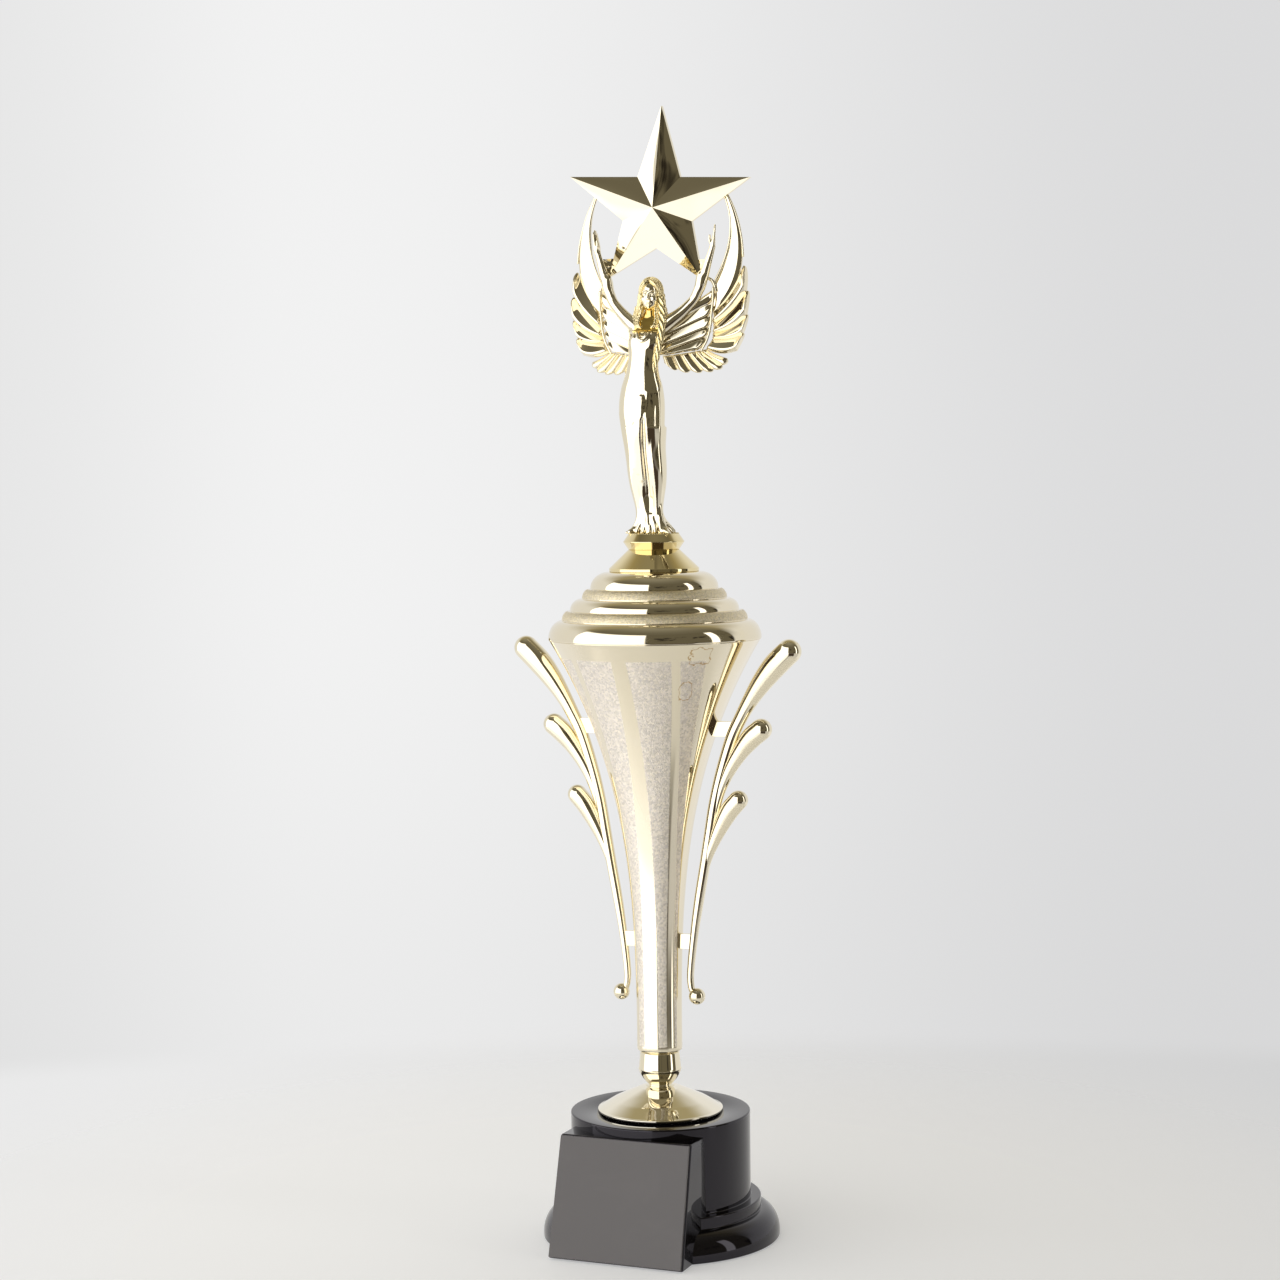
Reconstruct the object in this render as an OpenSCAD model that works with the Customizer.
// Star trophy: a plinth with a plaque, a trumpet cup with two scroll handles, and a
// lift-off lid that carries a winged figure holding up a star.
// The origin is on the floor under the middle of the plinth. +Z is up, -Y is the front.

/* [Plinth] */
// Radius of the flared bottom ring
ring_r = 50.2; // [47:0.1:60]
// Height of the flared ring above the floor
ring_h = 12; // [9:0.1:14.5]
// Radius of the step above the ring
step_r = 42.3; // [40:0.1:46]
// Height of the step
step_h = 5; // [3:0.1:7]
// Radius of the drum
drum_r = 38; // [35:0.1:39.5]
// Height of the whole plinth
plinth_h = 53.4; // [44:0.1:65]
// Wall thickness of the plinth
plinth_wall = 2; // [1.5:0.1:3]
// Gap between the plinth's rim and the floor
rim_gap = 0.4; // [0.2:0.1:0.8]

/* [Underside] */
// Thickness of the felt disc
felt_t = 1.2; // [0.8:0.1:2]
// Thickness of the cover disc
cover_t = 1.8; // [1:0.1:3]
// Height of the ballast disc
weight_h = 18; // [8:0.5:22]
// Radius of the ballast disc
weight_r = 32; // [20:0.5:33]

/* [Plaque] */
// Width of the plaque box at its top
plaque_top_w = 58; // [48:0.5:66]
// Width of the plaque box at its foot
plaque_foot_w = 59.4; // [48:0.5:68]
// Distance from the plinth's top down to the box's top
plaque_drop = 4.1; // [1:0.1:8]
// How far the box's top stands in front of the drum
plaque_top_out = 0.6; // [0.3:0.1:6]
// Thickness that the sloping front keeps over the ring
plaque_foot_out = 0.6; // [0.4:0.1:6]
// Wall thickness of the plaque box
plaque_wall = 1.8; // [1.2:0.1:2.5]
// Thickness of the name plate
plate_t = 1.2; // [0.6:0.1:2]
// Border of the box's front that the plate leaves bare
plate_border = 0.5; // [0.2:0.1:4]
// Thickness of the adhesive pad behind the plate
tape_t = 0.4; // [0.2:0.1:0.6]

/* [Foot] */
// Radius of the skirt's rim
skirt_r = 26.5; // [20:0.1:33]
// Height of the skirt
skirt_h = 10.2; // [8:0.1:14]
// Thickness of the skirt
skirt_t = 1.6; // [1:0.1:2.5]
// Radius of the knob at its ridge
knob_r = 9.2; // [8.6:0.1:11]
// Radius of the knob at its top
knob_top_r = 8.3; // [7.6:0.1:9]
// Radius of the knob at its foot
knob_foot_r = 5.4; // [5:0.1:7]
// Height of the knob
knob_h = 15.1; // [13:0.1:18]
// Height of the ridge above the knob's foot
knob_ridge = 7.4; // [6:0.1:9]

/* [Cup] */
// Height of the cup
cup_h = 174.7; // [145:0.1:210]
// Radius of the cup's tube
cup_foot_r = 9.6; // [9.4:0.1:12]
// Radius of the cup at its rim
cup_rim_r = 44.7; // [37:0.1:54]
// Wall thickness of the cup
cup_wall = 1.8; // [1.2:0.1:2.2]
// Thickness of the cup's floor
cup_floor = 4; // [3:0.1:8]

/* [Handles] */
// Height of the curled end's ball above the cup's foot
handle_rise = 24; // [18:0.5:34]
// Distance from the cup's rim down to the top lobe
handle_drop = 4.7; // [3:0.1:14]
// Fullness of the stems and lobes
lobe_full = 1.12; // [0.9:0.01:1.2]
// Radius of the ball on the curled end
ball_r = 3.5; // [2.5:0.1:4]
// Height of each tab
tab_h = 6.4; // [4:0.1:8]
// Thickness of each tab
tab_t = 2; // [1.2:0.1:3]
// How far a tab reaches inside the cup's wall
tab_reach = 0.8; // [0.4:0.1:2]
// Clearance around a tab in its slot
slot_gap = 0.15; // [0.05:0.05:0.4]

/* [Lid] */
// How far the lid's edge stands outside the cup's rim
lid_lip = 0.1; // [0:0.1:1]
// Height of each tier, from the lowest up
tier_h = [8, 4.2, 4.9, 4.2, 6.9]; // [3:0.1:12]
// How far each tier steps in, from the lowest up
tier_in = [5.8, 3.5, 5.1, 3.5, 8]; // [2:0.1:10]
// Wall thickness of the lid
lid_wall = 1.8; // [1.2:0.1:2.5]
// Depth of the spigot that drops into the cup
spigot_h = 4; // [2:0.1:8]
// Clearance between the spigot and the cup
spigot_gap = 0.35; // [0.2:0.05:0.8]
// Height of the riser cone
riser_h = 9.1; // [6:0.1:12]
// Radius of the riser cone at its top
riser_top_r = 10.5; // [9:0.1:11]
// Height of the riser cone's upright rim
riser_rim = 1.4; // [0.8:0.1:2.5]

/* [Figure] */
// Height of the collar under the figure
collar_h = 6.7; // [5:0.1:9]
// Radius of the collar at its ridge
collar_r = 12.9; // [11.5:0.1:14]
// Radius of the collar at its ends
collar_end_r = 10.6; // [10:0.1:11.4]
// Height of the figure, from its feet to its crown
figure_h = 106; // [88:0.5:128]

/* [Wings and star] */
// Reach of each wing from the middle
wing_reach = 40.5; // [33.5:0.1:49]
// Thickness of a feather
feather_t = 1.6; // [1.2:0.1:2.2]
// Radius of the star at its points
star_r = 42.6; // [35:0.1:52]
// Radius of the star at its two lower points
star_low_r = 35.8; // [32:0.1:44]
// Radius of the star between its points
star_in_r = 16.3; // [12:0.1:20]
// Turn of the star round its own axis, clockwise seen from the front
star_turn = 3; // [-4:0.5:4]
// Height of the star's middle above the figure's crown
star_lift = 29.6; // [24:0.1:36]
// Height of the star's front relief
star_front = 6; // [3:0.1:9]
// Height of the star's back relief
star_back = 3; // [1:0.1:6]
// Thickness of the star's edge
star_edge = 2; // [1:0.1:3]

/* [Fasteners] */
// Radius of the tie rod
rod_r = 3; // [2.5:0.1:3.5]
// Radius of the figure's stud
stud_r = 2.5; // [2:0.1:3]
// Clearance of a rod or stud in a plain hole
hole_gap = 0.3; // [0.1:0.05:0.5]
// Clearance of a nut's thread
thread_gap = 0.05; // [0.02:0.01:0.1]

/* [Hidden] */

gold = [0.83, 0.78, 0.6];
deep_gold = [0.8, 0.66, 0.32];
black = [0.05, 0.05, 0.055];
grey = [0.36, 0.35, 0.35];
steel = [0.6, 0.61, 0.63];

round_fn = 96;
eps = 0.01;

// Heights of the stacked pieces
skirt_z = plinth_h;
knob_z = skirt_z + skirt_h;
cup_z = knob_z + knob_h;
lid_z = cup_z + cup_h;
tier_z = [for (i = 0, z = lid_z; i <= len(tier_h); z = z + (i < len(tier_h) ? tier_h[i] : 0), i = i + 1) z];
riser_z = tier_z[len(tier_h)];
collar_z = riser_z + riser_h;
figure_z = collar_z + collar_h;
star_z = figure_z + figure_h + star_lift;

// Radii of the lid's tiers, which step in from the cup's rim
lid_r = cup_rim_r + lid_lip;
tier_r = [
    for (i = 0, r = lid_r; i <= len(tier_in); r = r - (i < len(tier_in) ? tier_in[i] : 0), i = i + 1) r
];
riser_r = tier_r[len(tier_in)];

// Nuts and washers: a nut is 10/6 of the rod across its flats, and 5/6 of it high
rod_hole_r = rod_r + hole_gap;
stud_hole_r = stud_r + hole_gap;
nut_share = 5 / 3;
nut_high = 5 / 3;
washer_share = 2;
washer_t = 1.2;
rod_spare = 2.5;

// Outer radius of the cup's wall at a height above its foot, its slope, and its inner radius
function cup_r(h) = cup_foot_r + (cup_rim_r - cup_foot_r) * pow(h / cup_h, 3);
function cup_slope(h) = 3 * (cup_rim_r - cup_foot_r) * pow(h / cup_h, 2) / cup_h;
function cup_in(h) = cup_r(h) - cup_wall * sqrt(1 + pow(cup_slope(h), 2));

// A point and a width on a smooth curve through a list of rows
function catmull(a, b, c, d, t) =
    0.5 * (2 * b + (c - a) * t + (2 * a - 5 * b + 4 * c - d) * t * t
    + (3 * b - a - 3 * c + d) * t * t * t);
function row(rows, i) = rows[max(0, min(len(rows) - 1, i))];
function smooth(rows, cuts) = [
    for (i = [0:len(rows) - 2], k = [0:cuts - 1])
        catmull(row(rows, i - 1), rows[i], rows[i + 1], row(rows, i + 2), k / cuts),
    rows[len(rows) - 1]
];
function bezier(p, t) =
    pow(1 - t, 3) * p[0] + 3 * t * pow(1 - t, 2) * p[1] + 3 * t * t * (1 - t) * p[2] + pow(t, 3) * p[3];

// A closed skin over rings that all have the same number of points
module skin(rings) {
    sides = len(rings[0]);
    last = len(rings) - 1;
    points = [for (ring = rings, p = ring) p];
    faces = concat(
        [[for (k = [sides - 1:-1:0]) k]],
        [for (i = [0:last - 1], k = [0:sides - 1]) let (a = i * sides + k, b = i * sides + (k + 1) % sides)
            each [[a, b, b + sides], [a, b + sides, a + sides]]],
        [[for (k = [0:sides - 1]) last * sides + k]]
    );
    polyhedron(points = points, faces = faces, convexity = 6);
}

// ---- Plinth ----

// Outside of the plinth: an upright drum on a step on a bell-shaped ring
flare_cuts = 8;
rim_round = 0.6;
rim_side = 1.6;
function plinth_outline() = concat(
    [[0, rim_gap], [ring_r - rim_round, rim_gap], [ring_r, rim_gap + rim_round]],
    [for (i = [0:flare_cuts]) let (a = 90 * i / flare_cuts) [
        step_r + (ring_r - step_r) * cos(a),
        rim_gap + rim_side + (ring_h - rim_gap - rim_side) * sin(a)
    ]],
    [[step_r, ring_h + step_h], [drum_r, ring_h + step_h], [drum_r, plinth_h], [0, plinth_h]]
);
cover_inset = 3;
cover_r = ring_r - cover_inset;
ledge_z = felt_t + cover_t;
ledge_w = 2.2;
cavity_r = drum_r - plinth_wall;
ring_wall = 1.6;
step_in_r = step_r - plinth_wall;

module base_shell() {
    color(black) difference() {
        rotate_extrude($fn = round_fn) polygon(plinth_outline());
        // Recess for the cover, then the hollow above its ledge
        translate([0, 0, rim_gap - 1]) cylinder(r = cover_r, h = ledge_z - rim_gap + 1, $fn = round_fn);
        translate([0, 0, ledge_z - eps])
            cylinder(r1 = cover_r - ledge_w, r2 = step_in_r, h = ring_h - ring_wall - ledge_z,
                $fn = round_fn);
        translate([0, 0, ring_h - ring_wall - 2 * eps])
            cylinder(r = step_in_r, h = step_h + ring_wall - plinth_wall, $fn = round_fn);
        translate([0, 0, ring_h])
            cylinder(r = cavity_r, h = plinth_h - plinth_wall - ring_h, $fn = round_fn);
        cylinder(r = rod_hole_r, h = plinth_h + 1, $fn = round_fn);
    }
}

module base_cover() {
    color(black) translate([0, 0, felt_t]) cylinder(r = cover_r - slot_gap, h = cover_t, $fn = round_fn);
}

module felt_pad() {
    color("darkgreen") cylinder(r = cover_r - 1, h = felt_t, $fn = round_fn);
}

module base_weight() {
    color("dimgray") translate([0, 0, ledge_z]) difference() {
        cylinder(r = weight_r, h = weight_h, $fn = round_fn);
        translate([0, 0, -1]) cylinder(r = rod_r * 3, h = weight_h + 2, $fn = round_fn);
    }
}

// ---- Plaque ----

plaque_h = plinth_h - plaque_drop;
plaque_top_y = drum_r + plaque_top_out;
// The slope starts far enough out to pass in front of every part of the ring's curve
plaque_foot_y = max([
    for (p = plinth_outline()) if (p[1] < ring_h)
        let (share = (p[1] - rim_gap) / (plaque_h - rim_gap))
            (p[0] + plaque_foot_out - plaque_top_y * share) / (1 - share)
]);
plaque_lean = atan((plaque_foot_y - plaque_top_y) / (plaque_h - rim_gap));
plaque_slant_h = (plaque_h - rim_gap) / cos(plaque_lean);

// A wedge with a sloping front, drawn smaller on every side by an inset
module plaque_wedge(inset) {
    intersection() {
        rotate([90, 0, 90]) linear_extrude(plaque_foot_w * 2, center = true) polygon([
            [0, rim_gap], [-plaque_foot_y + inset, rim_gap],
            [-plaque_top_y + inset, plaque_h - inset], [0, plaque_h - inset]
        ]);
        rotate([90, 0, 0]) linear_extrude(plaque_foot_y * 2) polygon([
            [-plaque_foot_w / 2 + inset, rim_gap], [plaque_foot_w / 2 - inset, rim_gap],
            [plaque_top_w / 2 - inset, plaque_h - inset], [-plaque_top_w / 2 + inset, plaque_h - inset]
        ]);
    }
}

module plaque_box() {
    color(black) difference() {
        plaque_wedge(0);
        translate([0, 0, -eps]) plaque_wedge(plaque_wall);
        rotate_extrude($fn = round_fn) polygon(plinth_outline());
    }
}

// Places its children on the sloping front: X to the right, Y up the slope, Z out of it
module on_plaque() {
    translate([0, -plaque_foot_y, rim_gap]) rotate([90 - plaque_lean, 0, 0]) children();
}

// A flat sheet that follows the front's outline, smaller on every side by an inset
module plaque_sheet(inset, thick) {
    linear_extrude(thick) polygon([
        [-plaque_foot_w / 2 + inset, inset], [plaque_foot_w / 2 - inset, inset],
        [plaque_top_w / 2 - inset, plaque_slant_h - inset],
        [-plaque_top_w / 2 + inset, plaque_slant_h - inset]
    ]);
}

module plate_tape() {
    color("whitesmoke") on_plaque() plaque_sheet(plate_border + 3, tape_t);
}

module name_plate() {
    color(grey) on_plaque() translate([0, 0, tape_t]) plaque_sheet(plate_border, plate_t);
}

// ---- Fasteners ----

module nut(bolt_r) {
    difference() {
        rotate(30) cylinder(r = bolt_r * nut_share / cos(30), h = bolt_r * nut_high, $fn = 6);
        translate([0, 0, -1]) cylinder(r = bolt_r + thread_gap, h = bolt_r * nut_high + 2, $fn = round_fn);
    }
}

module washer(bolt_r) {
    difference() {
        cylinder(r = bolt_r * washer_share, h = washer_t, $fn = round_fn);
        translate([0, 0, -1]) cylinder(r = bolt_r + hole_gap, h = washer_t + 2, $fn = round_fn);
    }
}

lower_washer_z = plinth_h - plinth_wall - washer_t;
lower_nut_z = lower_washer_z - rod_r * nut_high;
upper_washer_z = cup_z + cup_floor;
upper_nut_z = upper_washer_z + washer_t;
rod_top_z = upper_nut_z + rod_r * nut_high + rod_spare;

module tie_rod() {
    color(steel) translate([0, 0, lower_nut_z - rod_spare])
        cylinder(r = rod_r, h = rod_top_z - lower_nut_z + rod_spare, $fn = round_fn);
}
module lower_washer() {
    color(steel) translate([0, 0, lower_washer_z]) washer(rod_r);
}
module lower_nut() {
    color(steel) translate([0, 0, lower_nut_z]) nut(rod_r);
}
module upper_washer() {
    color(steel) translate([0, 0, upper_washer_z]) washer(rod_r);
}
module upper_nut() {
    color(steel) translate([0, 0, upper_nut_z]) nut(rod_r);
}

// ---- Foot ----

skirt_rim = 0.6;
module foot_skirt() {
    color(gold) translate([0, 0, skirt_z]) difference() {
        rotate_extrude($fn = round_fn) polygon([
            [0, 0], [skirt_r, 0], [skirt_r, skirt_rim], [skirt_r * 0.76, skirt_h * 0.43],
            [skirt_r * 0.5, skirt_h * 0.74], [knob_foot_r + skirt_t, skirt_h], [0, skirt_h]
        ]);
        // Hollow underneath, up to a solid middle that carries the knob
        rotate_extrude($fn = round_fn) polygon([
            [rod_hole_r + skirt_t, -1], [skirt_r - skirt_t, -1], [skirt_r - skirt_t, 0],
            [skirt_r * 0.76, skirt_h * 0.43 - skirt_t], [skirt_r * 0.5, skirt_h * 0.74 - skirt_t],
            [rod_hole_r + skirt_t, skirt_h * 0.74 - skirt_t]
        ]);
        translate([0, 0, -1]) cylinder(r = rod_hole_r, h = skirt_h + 2, $fn = round_fn);
    }
}

// The knob is a bowl that widens from its foot to a ridge, with a barrel on top
bowl_w = knob_r - knob_foot_r;
module stem_knob() {
    color(gold) translate([0, 0, knob_z]) difference() {
        rotate_extrude($fn = round_fn) polygon([
            [0, 0], [knob_foot_r, 0], [knob_foot_r, knob_ridge * 0.1],
            [knob_foot_r + bowl_w * 0.5, knob_ridge * 0.4],
            [knob_foot_r + bowl_w * 0.85, knob_ridge * 0.76],
            [knob_r, knob_ridge], [knob_r - 0.3, knob_ridge + 0.6], [knob_top_r, knob_h - 0.6],
            [knob_top_r - 0.6, knob_h], [0, knob_h]
        ]);
        translate([0, 0, -1]) cylinder(r = rod_hole_r, h = knob_h + 2, $fn = round_fn);
    }
}

// ---- Cup ----

cup_cuts = 22;
cup_edge = 1.2;
// The handle spans from its ball to its top lobe; a share of the span gives a height
handle_span = cup_h - handle_rise - handle_drop;
function handle_at(share) = handle_rise + share * handle_span;
tab_shares = [0.158, 0.776];

function cup_outside() = concat(
    [[cup_foot_r - cup_edge, 0], [cup_foot_r - cup_edge * 0.3, cup_edge * 0.35]],
    [for (i = [0:cup_cuts]) let (h = cup_edge + (cup_h - cup_edge) * i / cup_cuts) [cup_r(h), h]]
);
function cup_inside() = [
    for (i = [cup_cuts:-1:0]) let (h = cup_floor + (cup_h - cup_floor) * i / cup_cuts) [cup_in(h), h]
];

module cup_body() {
    color(gold) translate([0, 0, cup_z]) difference() {
        rotate_extrude($fn = round_fn)
            polygon(concat([[0, 0]], cup_outside(), cup_inside(), [[0, cup_floor]]));
        translate([0, 0, -1]) cylinder(r = rod_hole_r, h = cup_floor + 2, $fn = round_fn);
        for (share = tab_shares, side = [-1, 1]) tab_slot(share, side);
    }
}

// The slot that a handle's tab enters
module tab_slot(share, side) {
    h = handle_at(share);
    deep = cup_wall * 4;
    translate([side * cup_r(h), 0, h])
        cube([deep, tab_t + 2 * slot_gap, tab_h + 2 * slot_gap], center = true);
}

// ---- Handles ----

// Each row is [share of the span, gap to the cup's wall, thickness radius]
stem_rows = [
    [0.005, 6, 1.2], [0.03, 4.8, 1.3], [0.075, 4.6, 1.4], [0.185, 5.9, 1.6], [0.28, 7.2, 1.9],
    [0.375, 8.3, 2], [0.465, 8.7, 2.1], [0.56, 8.4, 2.1], [0.65, 8.4, 2.2], [0.75, 8.6, 2.4],
    [0.815, 9.7, 2.6], [0.863, 10.8, 3.1], [0.91, 12.3, 3.9], [0.958, 14.5, 4.6], [1, 17.5, 4.6]
];
middle_rows = [
    [0.475, 9.7, 1], [0.543, 9.7, 1.5], [0.605, 10.3, 1.9], [0.66, 11.8, 2.5], [0.711, 14.3, 3.2],
    [0.752, 17.2, 4], [0.777, 20.2, 4.1]
];
lower_rows = [
    [0.303, 7.5, 0.9], [0.351, 8.2, 1.4], [0.403, 9.3, 1.8], [0.447, 11, 2.2], [0.495, 13.2, 2.9],
    [0.543, 15.9, 3.6], [0.573, 18.7, 3.7]
];
ball_gap = 7.5;
tube_sides = 12;
path_cuts = 3;
cap_cuts = 3;

// Turns a row into [x, z, radius] beside the cup
function beside_cup(r) = let (h = handle_at(r[0])) [cup_r(h) + r[1], h, r[2] * lobe_full];
function along(p, q) = let (d = [q[0] - p[0], q[1] - p[1]]) d / norm(d);
// One ring of a tube that lies in the handle's plane
function tube_ring(x, z, r, dir) = [
    for (k = [0:tube_sides - 1]) let (a = 360 * k / tube_sides)
        [x - dir[1] * r * cos(a), r * sin(a), z + dir[0] * r * cos(a)]
];

// A tapering tube through rows of [x, z, radius], closed by a round cap at each end
module tube(rows) {
    p = smooth(rows, path_cuts);
    n = len(p) - 1;
    start = along(p[0], p[1]);
    finish = along(p[n - 1], p[n]);
    skin(concat(
        [for (i = [cap_cuts:-1:1]) let (a = 88 * i / cap_cuts, r = p[0][2])
            tube_ring(p[0][0] - start[0] * r * sin(a), p[0][1] - start[1] * r * sin(a), r * cos(a),
                start)],
        [for (i = [0:n]) tube_ring(p[i][0], p[i][1], p[i][2], along(p[max(0, i - 1)], p[min(n, i + 1)]))],
        [for (i = [1:cap_cuts]) let (a = 88 * i / cap_cuts, r = p[n][2])
            tube_ring(p[n][0] + finish[0] * r * sin(a), p[n][1] + finish[1] * r * sin(a), r * cos(a),
                finish)]
    ));
}

// The handle on the +X side, in the cup's own frame
module handle() {
    for (rows = [stem_rows, middle_rows, lower_rows]) tube([for (r = rows) beside_cup(r)]);
    translate([cup_r(handle_rise) + ball_gap, 0, handle_rise]) sphere(r = ball_r, $fn = 24);
    for (share = tab_shares) {
        h = handle_at(share);
        inner = cup_in(h - tab_h / 2) - tab_reach;
        outer = cup_r(h) + lookup(share, [for (r = stem_rows) [r[0], r[1]]]);
        translate([inner, -tab_t / 2, h - tab_h / 2]) cube([outer - inner, tab_t, tab_h]);
    }
}

module handle_right() {
    color(gold) translate([0, 0, cup_z]) handle();
}
module handle_left() {
    color(gold) translate([0, 0, cup_z]) mirror([1, 0, 0]) handle();
}

// ---- Lid ----

tier_cuts = 6;
// Outline of the stepped dome, drawn inwards by an inset on its radius and its height
function tier_outline(inset) = [
    for (i = [0:len(tier_h) - 1], k = [0:tier_cuts]) let (a = 90 * k / tier_cuts)
        [tier_r[i] - inset - tier_in[i] * (1 - cos(a)), tier_z[i] - inset + tier_h[i] * sin(a)]
];
spigot_r = cup_in(cup_h - spigot_h) - spigot_gap;
spigot_in_r = spigot_r - lid_wall;

module lid_shell() {
    color(gold) difference() {
        union() {
            rotate_extrude($fn = round_fn)
                polygon(concat([[0, lid_z]], tier_outline(0), [[0, riser_z]]));
            translate([0, 0, lid_z - spigot_h]) cylinder(r = spigot_r, h = spigot_h + 1, $fn = round_fn);
        }
        rotate_extrude($fn = round_fn) intersection() {
            polygon(concat([[0, lid_z - spigot_h - 1], [spigot_in_r, lid_z - spigot_h - 1]],
                tier_outline(lid_wall), [[0, riser_z - lid_wall]]));
            translate([0, lid_z - spigot_h - 1]) square([spigot_in_r, riser_z - lid_z + spigot_h]);
        }
        cylinder(r = stud_hole_r, h = riser_z + 1, $fn = round_fn);
    }
}

module riser_cone() {
    top_t = 2;
    color(deep_gold) translate([0, 0, riser_z]) difference() {
        rotate_extrude($fn = round_fn)
            polygon([[0, 0], [riser_r, 0], [riser_r, riser_rim], [riser_top_r, riser_h], [0, riser_h]]);
        rotate_extrude($fn = round_fn) polygon([
            [stud_hole_r + lid_wall, -1], [riser_r - lid_wall, -1], [riser_r - lid_wall, riser_rim - 0.5],
            [riser_top_r - lid_wall, riser_h - top_t], [stud_hole_r + lid_wall, riser_h - top_t]
        ]);
        translate([0, 0, -1]) cylinder(r = stud_hole_r, h = riser_h + 2, $fn = round_fn);
    }
}

module figure_collar() {
    color(deep_gold) translate([0, 0, collar_z]) difference() {
        rotate_extrude($fn = round_fn) polygon([
            [0, 0], [collar_end_r, 0], [collar_r, collar_h / 2], [collar_end_r, collar_h], [0, collar_h]
        ]);
        translate([0, 0, -1]) cylinder(r = stud_hole_r, h = collar_h + 2, $fn = round_fn);
    }
}

figure_washer_z = riser_z - lid_wall - washer_t;
figure_nut_z = figure_washer_z - stud_r * nut_high;
stud_in_figure = 5;

module figure_stud() {
    color(steel) translate([0, 0, figure_nut_z - rod_spare])
        cylinder(r = stud_r, h = figure_z + stud_in_figure - figure_nut_z + rod_spare, $fn = round_fn);
}
module figure_washer() {
    color(steel) translate([0, 0, figure_washer_z]) washer(stud_r);
}
module figure_nut() {
    color(steel) translate([0, 0, figure_nut_z]) nut(stud_r);
}

// ---- Figure ----

// The figure is drawn 106 mm tall and scaled to its named height
figure_drawn = 106;
figure_k = figure_h / figure_drawn;

// Each row is [height, middle x, middle y, half width, half depth] of the gown and body
body_rows = [
    [0, 0, -0.6, 9, 6.2], [2.5, -0.1, -1, 8, 5.4], [6, -0.3, -2, 6, 4.7], [10, -0.4, -2.8, 5.3, 4.4],
    [15, -0.5, -3.4, 5.9, 5], [20, -0.6, -3.9, 7, 5.8], [25, -0.8, -4.4, 7.8, 6.1], [30, -1, -4.9, 7.5, 6],
    [36, -1.4, -5.7, 7.9, 6.3], [42, -1.6, -6.3, 9, 7], [49, -1.8, -6.9, 9.8, 7.4],
    [55, -1.8, -6.9, 9.8, 7.2], [61, -1.8, -6.5, 8.9, 6.4], [67, -1.8, -6, 7.2, 5.3],
    [73, -1.6, -5.2, 6.6, 4.9], [79, -1.2, -4.2, 7.3, 5.5],
    [84, -0.6, -2.7, 7.9, 5], [88, -0.1, -1.4, 7, 3.6], [90.5, 0.1, -0.9, 3.6, 2.7], [94, 0.2, -0.6, 2.4, 2.5]
];
body_sides = 24;

module body_ring_skin() {
    skin([for (r = body_rows) [
        for (k = [0:body_sides - 1]) let (a = -360 * k / body_sides)
            [r[1] + r[3] * cos(a), r[2] + r[4] * sin(a), r[0]]
    ]]);
}

// A chain of balls through rows of [x, y, z, radius], filled between each two
module limb(rows, sides) {
    for (i = [0:len(rows) - 2]) hull() {
        for (r = [rows[i], rows[i + 1]]) translate([r[0], r[1], r[2]]) sphere(r = r[3], $fn = sides);
    }
}

arm_rows = [
    [7, -1.2, 86, 2.9], [12.5, 0.8, 91, 2.7], [18.3, 2.8, 97.2, 2.3], [20.5, 3.4, 102, 2.3],
    [23.2, 4, 110, 1.9], [26, 4.6, 118, 1.4], [26.8, 4.8, 122.5, 1.5], [27.3, 5, 126.5, 0.8]
];
// Where the middle of an arm lies at a height above the feet
function arm_at(h) = figure_k * [
    lookup(h / figure_k, [for (r = arm_rows) [r[2], r[0]]]),
    lookup(h / figure_k, [for (r = arm_rows) [r[2], r[1]]])
];
// The long lock of hair that falls in front of the left shoulder
lock_rows = [
    [5, -1.2, 100, 1.9], [6.2, -2.5, 93, 2.2], [6.6, -4.5, 86, 2], [6.4, -5.8, 79, 1.7],
    [5.6, -6.6, 72, 1.4], [4.6, -7.2, 66, 0.9]
];
head_z = 99.2;

module head() {
    translate([0.3, -1, head_z]) {
        scale([4.6, 5.2, 6.6]) sphere(r = 1, $fn = 20);
        translate([0, -4.7, -0.8]) scale([0.7, 1.2, 1.5]) sphere(r = 1, $fn = 8);
        translate([0, 1.2, 0.6]) scale([5.9, 5.2, 6.2]) sphere(r = 1, $fn = 20);
    }
    limb([[-4.6, 0, head_z + 1, 1.8], [-5.4, -0.5, 92, 1.9], [-6.6, -2, 86.5, 1.4]], 10);
    limb([[0, 3.6, head_z, 3.2], [0, 4, 92, 3.4], [0, 3.8, 84, 2.4]], 12);
}

module figure_body() {
    color(gold) translate([0, 0, figure_z]) difference() {
        scale(figure_k) {
            body_ring_skin();
            for (side = [-1, 1]) {
                scale([side, 1, 1]) limb(arm_rows, 12);
                // Foot, turned outwards under the hem
                hull() {
                    translate([side * 6, -3, 1.6]) sphere(r = 1.6, $fn = 12);
                    translate([side * 9.6, -5.2, 1]) scale([1.4, 1.2, 1]) sphere(r = 1, $fn = 12);
                }
            }
            head();
            limb(lock_rows, 10);
        }
        translate([0, 0, -3]) cube([60, 60, 6], center = true);
        translate([0, 0, -1]) cylinder(r = stud_hole_r, h = stud_in_figure + 1.5, $fn = 32);
    }
}

// ---- Wings ----

// The wing is drawn with a reach of 40.5 mm and scaled to its named reach
wing_drawn = 40.5;
wing_k = wing_reach / wing_drawn;

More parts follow.
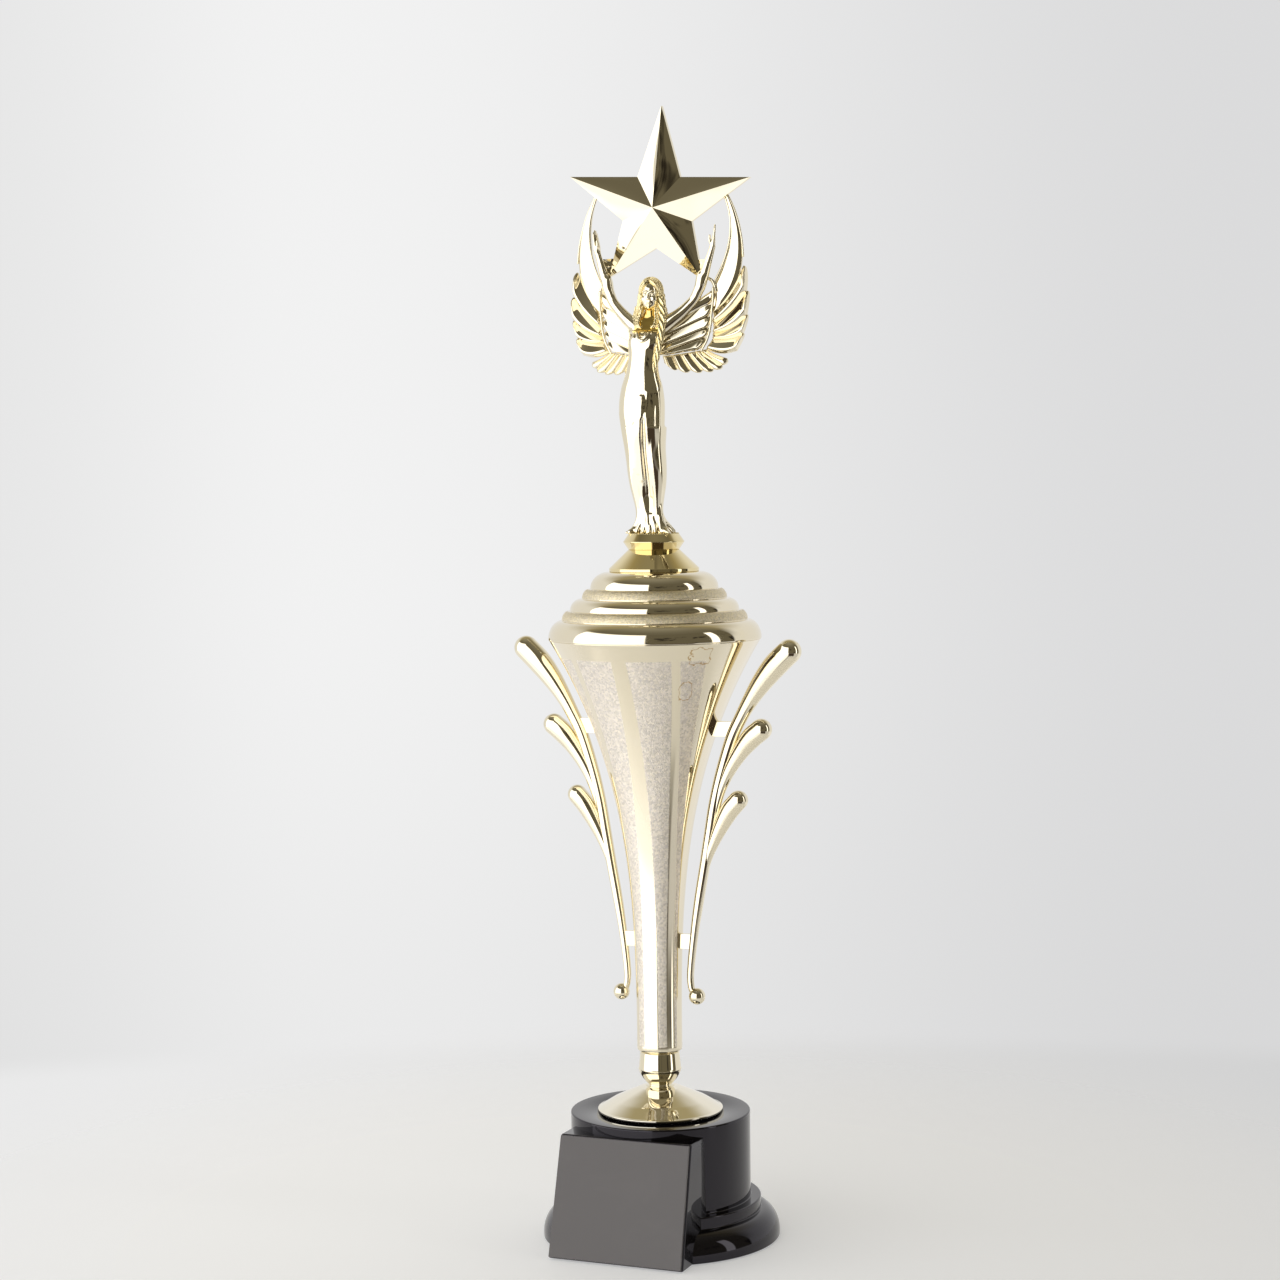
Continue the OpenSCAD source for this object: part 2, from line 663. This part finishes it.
// Each feather is [root, first pull, second pull, tip, half width at root, middle and tip]
primaries = [
    [[24.5, 92.5], [38, 110], [34, 128], [28.4, 145.5], 2.2, 3, 0.9],
    [[24.5, 88], [31, 91], [37, 99], [37.2, 110], 2.2, 2.6, 1.3],
    [[24, 84], [32, 86], [37.4, 92], [38.6, 100], 2.2, 2.7, 1.6],
    [[23, 80], [31, 81], [36.4, 83.4], [37.8, 89.5], 2.2, 2.8, 1.8],
    [[21.5, 76], [27, 76], [32.8, 74.8], [35, 79], 2.2, 2.7, 2]
];
fans = [
    [[20, 75], [23, 74], [26, 72.6], [29, 71], 1.6, 1.7, 1.5],
    [[18, 74.5], [20.5, 72.6], [23.4, 70.4], [26, 68], 1.6, 1.7, 1.5],
    [[15.5, 74], [17.6, 71.6], [19.8, 69.4], [22, 67], 1.6, 1.7, 1.5],
    [[12.5, 74], [14, 71.6], [15.8, 69.4], [17.4, 67], 1.6, 1.7, 1.5],
    [[9, 74], [10, 72], [11.4, 70], [12.8, 68], 1.6, 1.7, 1.5]
];
coverts = [
    [[7, 84], [13, 87], [20, 91.5], [23.6, 97], 2.4, 2.6, 2.2],
    [[7, 81], [13, 83], [20, 86.5], [23.8, 91], 2.2, 2.4, 2],
    [[7, 78], [13, 79.5], [19.5, 82], [23.2, 85.5], 2.2, 2.4, 2],
    [[7, 75.5], [13, 76.4], [19, 78], [22.2, 80], 2.2, 2.2, 1.9],
    [[7, 74], [12, 74], [16, 74.4], [19.6, 75.4], 1.8, 1.8, 1.6]
];
feather_cuts = 4;
wing_root_y = 4.6 * figure_k;
wing_sweep = 0.12;
wing_lean = 0.06;
lean_from = 95;
covert_lift = 1.5;

// The wing's surface sweeps back with the reach, and leans back above the shoulders
function wing_y(x, z) = wing_root_y + wing_sweep * x + wing_lean * max(0, z - lean_from);

function feather_width(f, t) = t < 0.5
    ? f[4] + (f[5] - f[4]) * t * 2
    : f[5] + (f[6] - f[5]) * (t - 0.5) * 2;

// A leaf-shaped plate along its own curve, on the swept surface of the wing
module feather(f, lift) {
    for (i = [0:feather_cuts - 1]) hull() {
        for (t = [i / feather_cuts, (i + 1) / feather_cuts]) {
            p = bezier(f, t);
            translate([p[0], wing_y(p[0], p[1]) - lift, p[1]]) rotate([90, 0, 0])
                cylinder(r = feather_width(f, t), h = feather_t, center = true, $fn = 12);
        }
    }
}

module wing() {
    for (i = [0:len(primaries) - 1]) feather(primaries[i], i * 0.12);
    for (i = [0:len(fans) - 1]) feather(fans[i], i * 0.12);
    for (i = [0:len(coverts) - 1]) feather(coverts[i], covert_lift + i * 0.12);
    // Web that joins the feathers' roots behind the back
    hull() {
        translate([2.5, wing_root_y - 3.4, 76]) cube([0.1, 4.4, 10]);
        translate([22, wing_y(22, 0) - 1.2, 78]) cube([2, 1.6, 13]);
    }
}

// The wing is drawn for a back at 78 mm and a star at 135.6 mm above the feet, and is
// stretched upwards between the real heights of the two
back_drawn = 78;
star_drawn = 135.6;
module place_wing(side) {
    back = back_drawn * figure_k;
    rise_k = (star_z - figure_z - back) / (star_drawn - back_drawn);
    translate([0, 0, figure_z + back]) scale([side * wing_k, 1, rise_k])
        translate([0, 0, -back_drawn]) wing();
}

module wing_right() {
    color(gold) place_wing(1);
}
module wing_left() {
    color(gold) place_wing(-1);
}

// ---- Star ----

star_y = 9.5;
star_points = 5;
// Share of the way to a lower point where its web meets the forearm
web_share = 0.86;

// Points and hollows follow one another round the star, and both lower points are shorter
function star_radius(k) = k % 2 == 1 ? star_in_r : abs(k - star_points) == 1 ? star_low_r : star_r;

// A five-point star with a ridge along each point, front and back
module star() {
    n = 2 * star_points;
    ring = [
        for (k = [0:n - 1]) let (r = star_radius(k), a = 90 + 360 * k / n - star_turn)
            [r * cos(a), r * sin(a)]
    ];
    points = concat(
        [[0, -star_edge / 2 - star_front, 0], [0, star_edge / 2 + star_back, 0]],
        [for (p = ring) [p[0], -star_edge / 2, p[1]]],
        [for (p = ring) [p[0], star_edge / 2, p[1]]]
    );
    faces = [
        for (k = [0:n - 1]) let (a = 2 + k, b = 2 + (k + 1) % n)
            each [[0, b, a], [a, b, b + n, a + n], [1, a + n, b + n]]
    ];
    color(gold) translate([0, star_y, star_z]) {
        polyhedron(points = points, faces = faces, convexity = 4);
        for (side = [-1, 1]) star_web(side);
    }
}

// Joins a lower point of the star to the forearm in front of it
module star_web(side) {
    a = 180 / star_points - side * star_turn;
    foot = star_low_r * web_share * [side * sin(a), 0, -cos(a)];
    arm = arm_at(star_z - figure_z + foot[2]);
    hull() {
        translate([foot[0], 0, foot[2]]) cube([1.6, 1.6, 5], center = true);
        translate([side * arm[0], arm[1] - star_y, foot[2]]) cube([1.2, 1, 3.4], center = true);
    }
}

felt_pad();
base_cover();
base_weight();
base_shell();
plaque_box();
plate_tape();
name_plate();
tie_rod();
lower_washer();
lower_nut();
upper_washer();
upper_nut();
foot_skirt();
stem_knob();
cup_body();
handle_left();
handle_right();
lid_shell();
riser_cone();
figure_collar();
figure_stud();
figure_washer();
figure_nut();
figure_body();
wing_left();
wing_right();
star();
